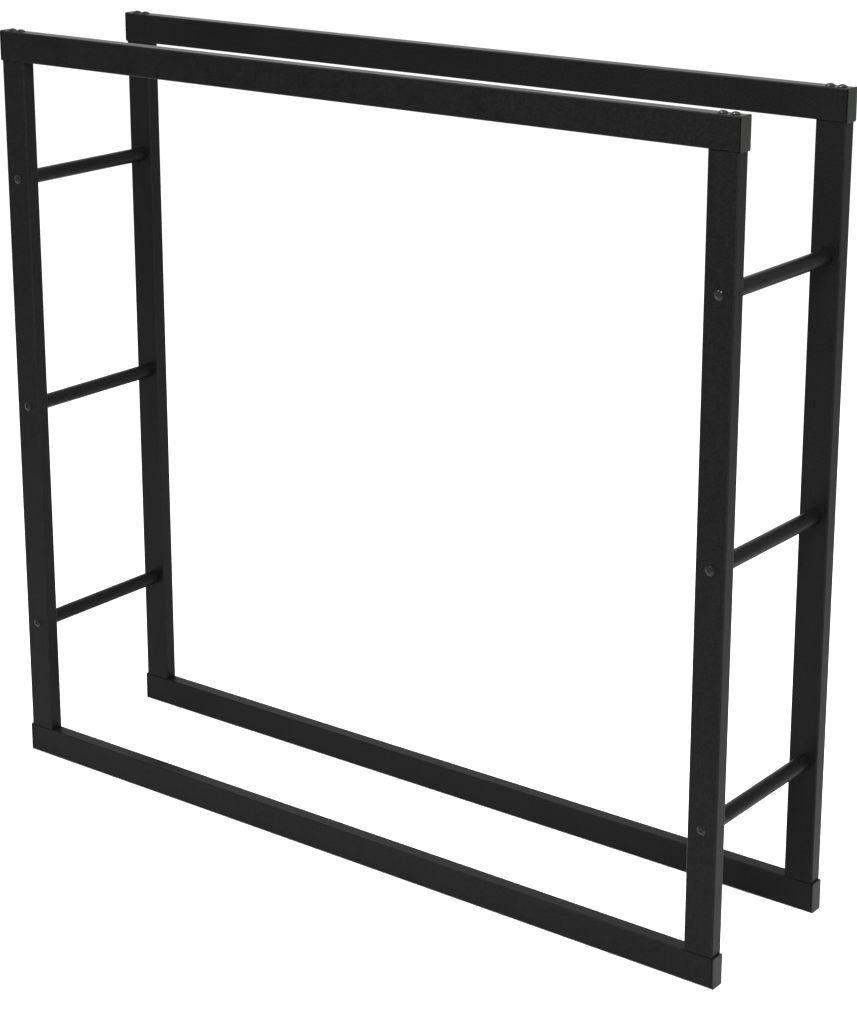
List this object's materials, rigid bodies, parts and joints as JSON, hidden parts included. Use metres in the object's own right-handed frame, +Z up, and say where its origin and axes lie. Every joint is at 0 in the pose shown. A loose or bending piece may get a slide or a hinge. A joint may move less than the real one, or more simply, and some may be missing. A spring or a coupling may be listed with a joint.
{
  "type": "firewood log rack",
  "caption": "Free-standing open rack for stacked firewood: two flat frames of black rectangular steel tube joined by round crossbars, with plastic end caps.",
  "frame": {"origin": "on the floor, in the middle of the rack", "axes": "+X along the width to the right, +Y from the front frame to the back frame, +Z up"},
  "size_m": [1.1, 0.2546, 1.0023],
  "materials": {
    "black_powder_coat": "satin black powder coat with a fine orange-peel texture",
    "cap_plastic": "moulded black plastic, matte, a little lighter than the coated steel",
    "black_bolt_steel": "black-coated steel, semi-gloss",
    "plain_steel": "plain machined steel, hidden inside the tubes"
  },
  "bodies": {
    "root": {"front_top_rail": "black_powder_coat", "front_bottom_rail": "black_powder_coat", "back_top_rail": "black_powder_coat", "back_bottom_rail": "black_powder_coat", "front_left_post": "black_powder_coat", "front_right_post": "black_powder_coat", "back_left_post": "black_powder_coat", "back_right_post": "black_powder_coat", "left_upper_crossbar": "black_powder_coat", "left_middle_crossbar": "black_powder_coat", "left_lower_crossbar": "black_powder_coat", "right_upper_crossbar": "black_powder_coat", "right_middle_crossbar": "black_powder_coat", "right_lower_crossbar": "black_powder_coat", "front_top_left_end_cap": "cap_plastic", "front_top_right_end_cap": "cap_plastic", "front_bottom_left_end_cap": "cap_plastic", "front_bottom_right_end_cap": "cap_plastic", "back_top_left_end_cap": "cap_plastic", "back_top_right_end_cap": "cap_plastic", "back_bottom_left_end_cap": "cap_plastic", "back_bottom_right_end_cap": "cap_plastic", "front_top_left_threaded_plate": "plain_steel", "front_top_right_threaded_plate": "plain_steel", "front_bottom_left_threaded_plate": "plain_steel", "front_bottom_right_threaded_plate": "plain_steel", "back_top_left_threaded_plate": "plain_steel", "back_top_right_threaded_plate": "plain_steel", "back_bottom_left_threaded_plate": "plain_steel", "back_bottom_right_threaded_plate": "plain_steel", "left_upper_crossbar_inserts": "plain_steel", "left_middle_crossbar_inserts": "plain_steel", "left_lower_crossbar_inserts": "plain_steel", "right_upper_crossbar_inserts": "plain_steel", "right_middle_crossbar_inserts": "plain_steel", "right_lower_crossbar_inserts": "plain_steel", "front_top_left_rail_bolts": "black_bolt_steel", "front_top_right_rail_bolts": "black_bolt_steel", "front_bottom_left_rail_bolts": "black_bolt_steel", "front_bottom_right_rail_bolts": "black_bolt_steel", "back_top_left_rail_bolts": "black_bolt_steel", "back_top_right_rail_bolts": "black_bolt_steel", "back_bottom_left_rail_bolts": "black_bolt_steel", "back_bottom_right_rail_bolts": "black_bolt_steel", "front_left_crossbar_bolts": "black_bolt_steel", "front_right_crossbar_bolts": "black_bolt_steel", "back_left_crossbar_bolts": "black_bolt_steel", "back_right_crossbar_bolts": "black_bolt_steel"}
  },
  "joints": []
}
